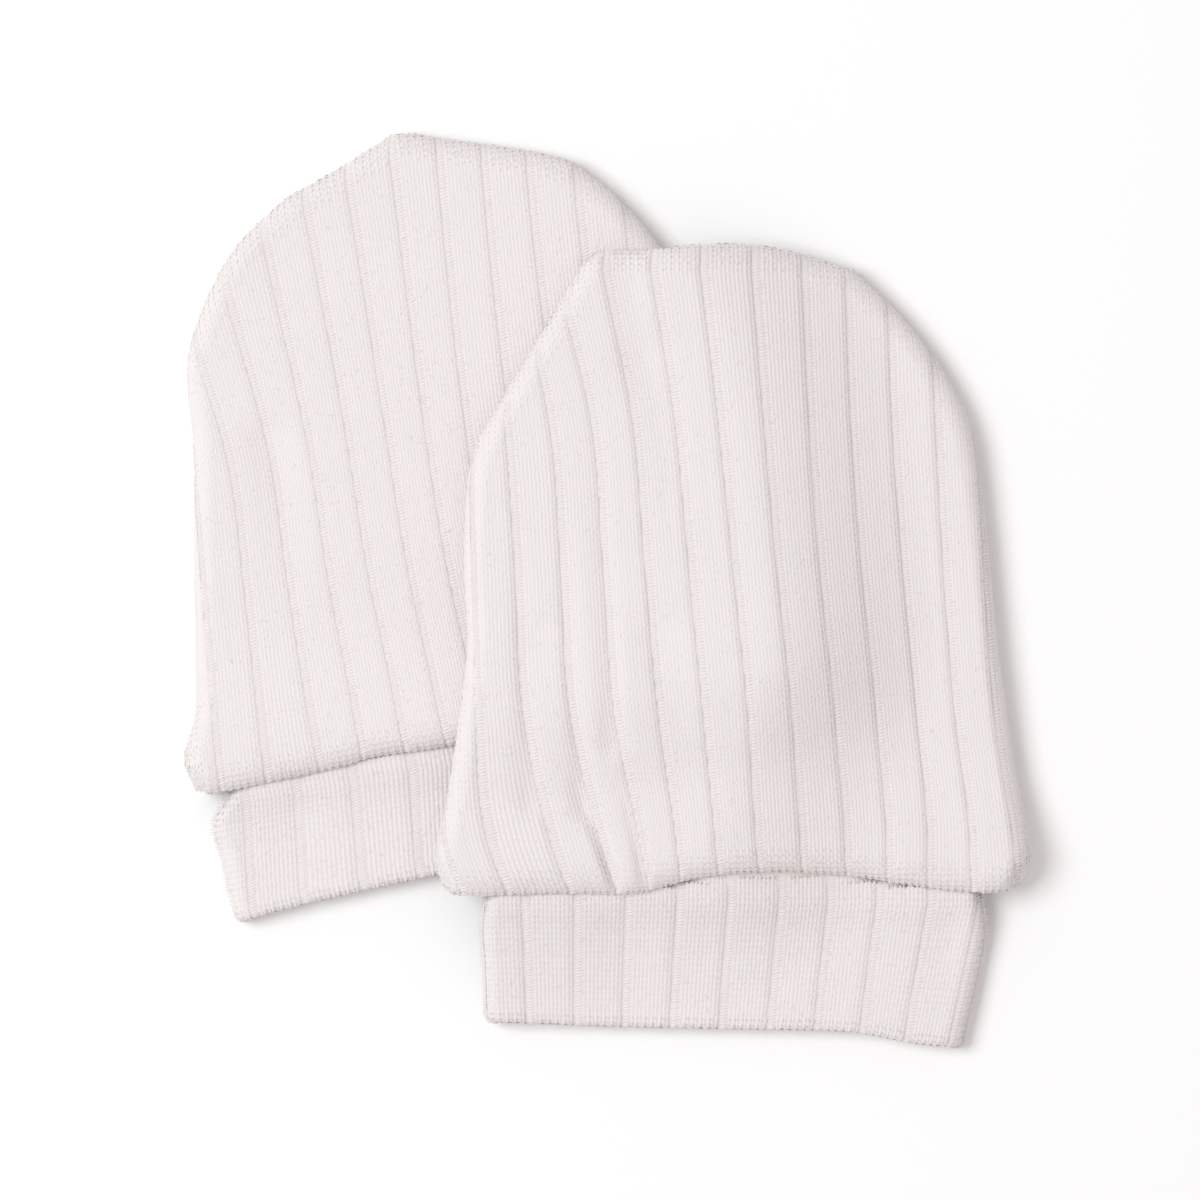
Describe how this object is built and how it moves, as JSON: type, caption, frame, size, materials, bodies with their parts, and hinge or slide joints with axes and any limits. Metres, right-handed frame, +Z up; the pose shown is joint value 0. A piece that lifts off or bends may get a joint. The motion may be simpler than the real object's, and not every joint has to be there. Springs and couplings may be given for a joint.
{
  "type": "pair of baby mittens",
  "caption": "Pair of thumbless ribbed cotton baby mittens with folded rib cuffs, laid flat, one lying partly across the other.",
  "frame": {"origin": "middle of the pair's bounding box seen from above, at the level of the surface that it lies on", "axes": "+Y from the cuffs towards the finger tips of the upper mitten, +Z up from the surface, +X to the right"},
  "size_m": [0.1145, 0.124, 0.0152],
  "materials": {
    "lower_palm_knit": "matte wide-rib cotton knit, off-white, soft nap",
    "lower_back_knit": "matte wide-rib cotton knit, off-white, soft nap",
    "lower_cuff_knit": "matte wide-rib cotton knit folded double, off-white, soft nap",
    "upper_palm_knit": "matte wide-rib cotton knit, off-white, soft nap",
    "upper_back_knit": "matte wide-rib cotton knit, off-white, soft nap",
    "upper_cuff_knit": "matte wide-rib cotton knit folded double, off-white, soft nap"
  },
  "bodies": {
    "root": {"lower_palm": "lower_palm_knit", "lower_back": "lower_back_knit", "lower_cuff": "lower_cuff_knit", "upper_palm": "upper_palm_knit", "upper_back": "upper_back_knit", "upper_cuff": "upper_cuff_knit"}
  },
  "joints": []
}
